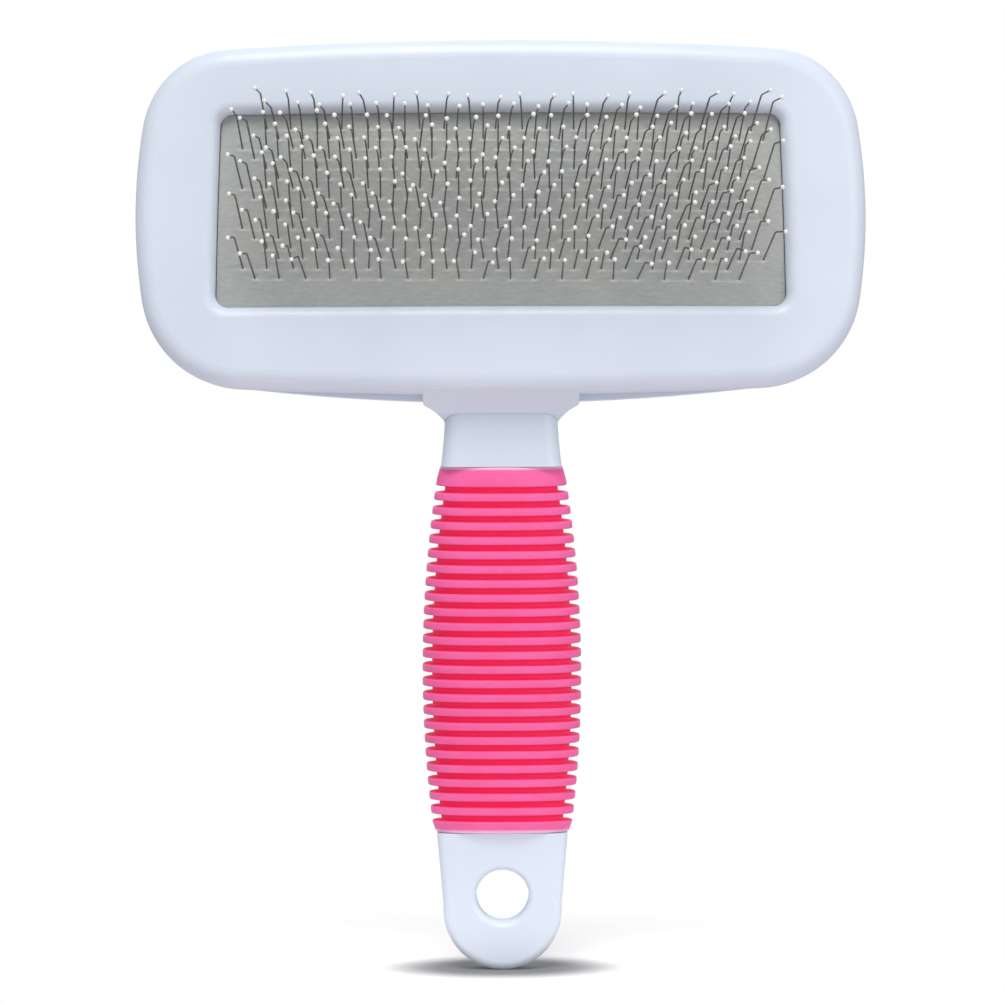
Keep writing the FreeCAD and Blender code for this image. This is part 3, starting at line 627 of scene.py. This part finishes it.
def legPath(x, z, splay, lean, tipLean, knee, tip):
    # tip, three places round the knee, and two round the bend into the crown, each n x 3 in millimetres
    out, side, up = padFrame(x, z)
    first = out + up * np.tan(np.radians(lean))[:, None] + side * np.tan(np.radians(splay))[:, None]
    second = out + up * np.tan(np.radians(tipLean))[:, None] + side * np.tan(np.radians(splay))[:, None]
    slant = np.cos(np.radians(lean))[:, None]
    first /= np.linalg.norm(first, axis=1)[:, None]
    second /= np.linalg.norm(second, axis=1)[:, None]
    base = padFace(x, z)
    root = base - first * staples["buried"] / slant
    bend = base + first * knee[:, None] / slant
    end = bend + second * tip[:, None]
    cut = staples["kneeRadius"] * staples["kneeShare"]
    before, after = bend - first * cut, bend + second * cut
    middle = (before + after) / 4 + bend / 2
    return end, [after, middle, before], root, first


def cubeSphere(count):
    # a cube of count x count squares a side, spaced by equal angles and pushed out to a ball of radius 1
    step = np.tan(np.linspace(-math.pi / 4, math.pi / 4, count + 1))
    a, b = np.meshgrid(step, step, indexing="ij")
    one = np.ones_like(a)
    sides = [(one, a, b), (-one, b, a), (b, one, a), (a, -one, b), (a, b, one), (b, a, -one)]
    points = np.concatenate([np.stack(side, -1).reshape(-1, 3) for side in sides])
    quads = np.concatenate([gridQuads(count + 1, count + 1) + k * (count + 1) ** 2 for k in range(6)])
    _, first, merged = np.unique(np.round(points, 5), axis=0, return_index=True, return_inverse=True)
    points = points[first]
    return points / np.linalg.norm(points, axis=1)[:, None], merged.reshape(-1)[quads]


ballPoints, ballQuads = cubeSphere(staples["ballSquares"])


def sweepWire(stations, up, radius, sides):
    # a round section carried along each path: stations is k x n x 3, with "up" as the section's reference
    ahead = np.gradient(stations, axis=0)
    ahead /= np.linalg.norm(ahead, axis=2)[..., None]
    across = up[None] - ahead * np.einsum("ijk,jk->ij", ahead, up)[..., None]
    across /= np.linalg.norm(across, axis=2)[..., None]
    third = np.cross(ahead, across)
    turn = np.arange(sides) * 2 * math.pi / sides
    ring = across[:, :, None] * np.cos(turn)[:, None] + third[:, :, None] * np.sin(turn)[:, None]
    tubes = stations[:, :, None] + ring * radius
    return tubes.transpose(1, 0, 2, 3)      # wire, station, side, xyz


def makeRow(row):
    # ten staples as one swept wire each, from tip over knee and crown to tip, and a bead on every end
    rng = np.random.default_rng(staples["seed"] + row)
    left, z = pinBases(row)
    count = len(left)

    def around(value, unevenness):
        # spread normally round the value, never past twice the unevenness
        spread = staples[unevenness]
        return value + rng.normal(0, spread, count).clip(-2 * spread, 2 * spread)

    legs = []
    for sign, x in ((-1, left), (1, left + staples["legs"])):
        lean = staples["lean"] + staples["edgeLean"] * (x / staples["edgePin"]) ** 4
        legs.append(legPath(x, z, around(sign * staples["splay"] + staples["sideLean"], "unevenSplay"),
                            around(lean, "unevenLean"), around(staples["tipLean"], "unevenTip"),
                            around(staples["knee"], "unevenLength"), around(staples["tip"], "unevenLength")))
    (tipL, kneeL, rootL, dirL), (tipR, kneeR, rootR, dirR) = legs
    over = (rootR - rootL) / np.linalg.norm(rootR - rootL, axis=1)[:, None]
    cut = staples["crownRadius"]
    crown = [rootL + dirL * cut, rootL + over * cut, rootR - over * cut, rootR + dirR * cut]
    path = [tipL, *kneeL, *crown, *kneeR[::-1], tipR]
    stations = np.stack(path)
    up = padFrame(left, z)[2]
    tubes = sweepWire(stations, up, staples["wire"], staples["sides"])
    wires, places, sides = tubes.shape[:3]
    tubeQuads = gridQuads(places, sides, closeColumns=True)
    last = (places - 1) * sides
    cap = np.array([[0, 1, 2, 3], [0, 3, 4, 5]])        # a six-sided end, closed with two quads
    one = np.concatenate([tubeQuads, cap[:, ::-1], cap + last])
    quads = (one[None] + (np.arange(wires) * places * sides)[:, None, None]).reshape(-1, 4)
    number = "%02d" % (row + 1)
    wire = meshFromArrays("pinRow" + number, tubes.reshape(-1, 3) * mm, quads, steelWire, staples["sharp"])
    place(wire, "pad", "steel_wire", "pin_row_" + number)
    ends = np.concatenate([tipL, tipR])
    uneven = staples["unevenBead"]
    size = staples["bead"] * (1 + rng.normal(0, uneven, len(ends)).clip(-2 * uneven, 2 * uneven))
    beads = ends[:, None] + ballPoints[None] * size[:, None, None]
    quads = (ballQuads[None] + (np.arange(len(ends)) * len(ballPoints))[:, None, None]).reshape(-1, 4)
    tips = meshFromArrays("pinTips" + number, beads.reshape(-1, 3) * mm, quads, whiteResin, staples["sharp"])
    place(tips, "pad", "white_beads", "pin_tips_" + number)


for row in range(staples["rows"]):
    makeRow(row)
print("pins made")


studio = {
    "paper": ("#FDFDFD", "#FFFFFF"), "paperCloud": 0.3, "paperGlow": 0.2,
    "rings": [0.5, 20, 40, 80, 112], "turns": 64,
    "shadeReach": (30 * mm, 21 * mm), "shadeBack": 0.5 * mm, "shadeDepth": 0.25, "shadeFull": 0.6,
    "solidReach": 35 * mm, "fadeReach": 110 * mm,
    "worldStrength": 0.50, "worldColour": (0.97, 0.985, 1.0, 1),
    "aim": (0.0, 0.0, 0.11),
}
lights = {
    "keySoftbox": {"power": 11.3, "size": 0.8, "where": (-0.1, -0.85, 1.25)},
    "fillSoftbox": {"power": 2.7, "size": 0.8, "where": (0.9, -0.9, 0.35)},
    "backSoftbox": {"power": 2.4, "size": 0.8, "where": (0.0, 0.9, 0.8)},
    # thrown back by the pink grip
    "lowBounce": {"power": 0.6, "size": 0.3, "where": (0.0, -0.12, -0.3), "colour": (1.0, 0.7, 0.85)},
}
view = {
    "distance": 0.7,            # from the head's front
    "eyeHeight": 0.0797,
    "sideways": 0.00032,
    "roll": 0.17,
    "lens": 125.8, "sensor": 36.0,
    "nearest": 0.01,
}


def makeFloor():
    # a flat disc as concentric rings: white paper that fades out into the white room
    material, tree, shader, where = newMaterial("whitePaperSweep", {"Roughness": 0.95, "Specular IOR Level": 0.1})
    paper = noiseBetween(tree, where, studio["paperCloud"], *studio["paper"])
    # a soft oval of contact shade round the tail's foot
    low = cadBox[0].z
    across, deep = studio["shadeReach"]
    oval = addNode(tree, "ShaderNodeMapping", {"vector_type": "TEXTURE", "Location": (0, studio["shadeBack"], low),
                                               "Scale": (across, deep, deep)}, Vector=where)
    glow = addNode(tree, "ShaderNodeTexGradient", {"gradient_type": "SPHERICAL"}, Vector=oval.outputs["Vector"])
    shade = addNode(tree, "ShaderNodeMapRange",
                    {"interpolation_type": "SMOOTHSTEP", "From Max": studio["shadeFull"], "To Min": 1.0,
                     "To Max": studio["shadeDepth"]}, Value=glow.outputs["Fac"])
    shaded = addNode(tree, "ShaderNodeVectorMath", {"operation": "SCALE"}, i0=paper, Scale=shade.outputs["Result"])
    tree.links.new(shaded.outputs["Vector"], shader.inputs["Base Color"])
    tree.links.new(shaded.outputs["Vector"], shader.inputs["Emission Color"])
    shader.inputs["Emission Strength"].default_value = studio["paperGlow"]
    disc = addNode(tree, "ShaderNodeMapping", {"vector_type": "TEXTURE", "Location": (0, 0, low),
                                               "Scale": (studio["fadeReach"],) * 3}, Vector=where)
    away = addNode(tree, "ShaderNodeTexGradient", {"gradient_type": "SPHERICAL"}, Vector=disc.outputs["Vector"])
    solid = addNode(tree, "ShaderNodeMapRange", {"interpolation_type": "SMOOTHSTEP",
                                                 "From Max": 1 - studio["solidReach"] / studio["fadeReach"]},
                    Value=away.outputs["Fac"])
    tree.links.new(solid.outputs["Result"], shader.inputs["Alpha"])
    radii = np.array(studio["rings"])[:, None] * mm
    turns = np.linspace(0, 2 * math.pi, studio["turns"], endpoint=False)[None, :]
    x, y = radii * np.cos(turns), radii * np.sin(turns)
    points = np.stack([x, y, np.full_like(x, low)], -1).reshape(-1, 3)
    floor = meshFromArrays("floor", points, gridQuads(*x.shape, closeColumns=True), material)


def areaLight(name, power, size, where, colour=(1, 1, 1)):
    # a round softbox turned to face the brush
    data = bpy.data.lights.new(name, "AREA")
    data.color = colour
    data.energy = power
    data.shape = "DISK"
    data.size = size
    light = bpy.data.objects.new(name, data)
    light.location = where
    light.rotation_mode = "QUATERNION"
    light.rotation_quaternion = (Vector(studio["aim"]) - Vector(where)).to_track_quat("-Z", "Y")
    bpy.context.scene.collection.objects.link(light)


def makeWorld():
    # pure white where the camera looks past the brush, dimmer and a little cool where it lights the brush
    world = bpy.data.worlds.new("whiteRoom")
    world.use_nodes = True
    tree = world.node_tree
    seen = tree.nodes["Background"]
    seen.inputs["Color"].default_value = (1, 1, 1, 1)
    seen.inputs["Strength"].default_value = 1.0
    lit = addNode(tree, "ShaderNodeBackground", {"Color": studio["worldColour"],
                                                    "Strength": studio["worldStrength"]})
    path = addNode(tree, "ShaderNodeLightPath")
    mix = addNode(tree, "ShaderNodeMixShader", i0=path.outputs["Is Camera Ray"], i1=lit.outputs[0], i2=seen.outputs[0])
    tree.links.new(mix.outputs[0], tree.nodes["World Output"].inputs["Surface"])
    bpy.context.scene.world = world


makeFloor()
makeWorld()
for name, light in lights.items():
    areaLight(name, **light)

cameraData = bpy.data.cameras.new("camera")
cameraData.lens = view["lens"]
cameraData.sensor_width = view["sensor"]
cameraData.clip_start = view["nearest"]
camera = bpy.data.objects.new("camera", cameraData)
camera.location = (view["sideways"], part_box("front_frame")[0].y - view["distance"], view["eyeHeight"])
camera.rotation_euler = (math.pi / 2, math.radians(view["roll"]), 0)
bpy.context.scene.collection.objects.link(camera)
bpy.context.scene.camera = camera
bpy.context.scene.view_settings.view_transform = "Standard"
print("stage set")
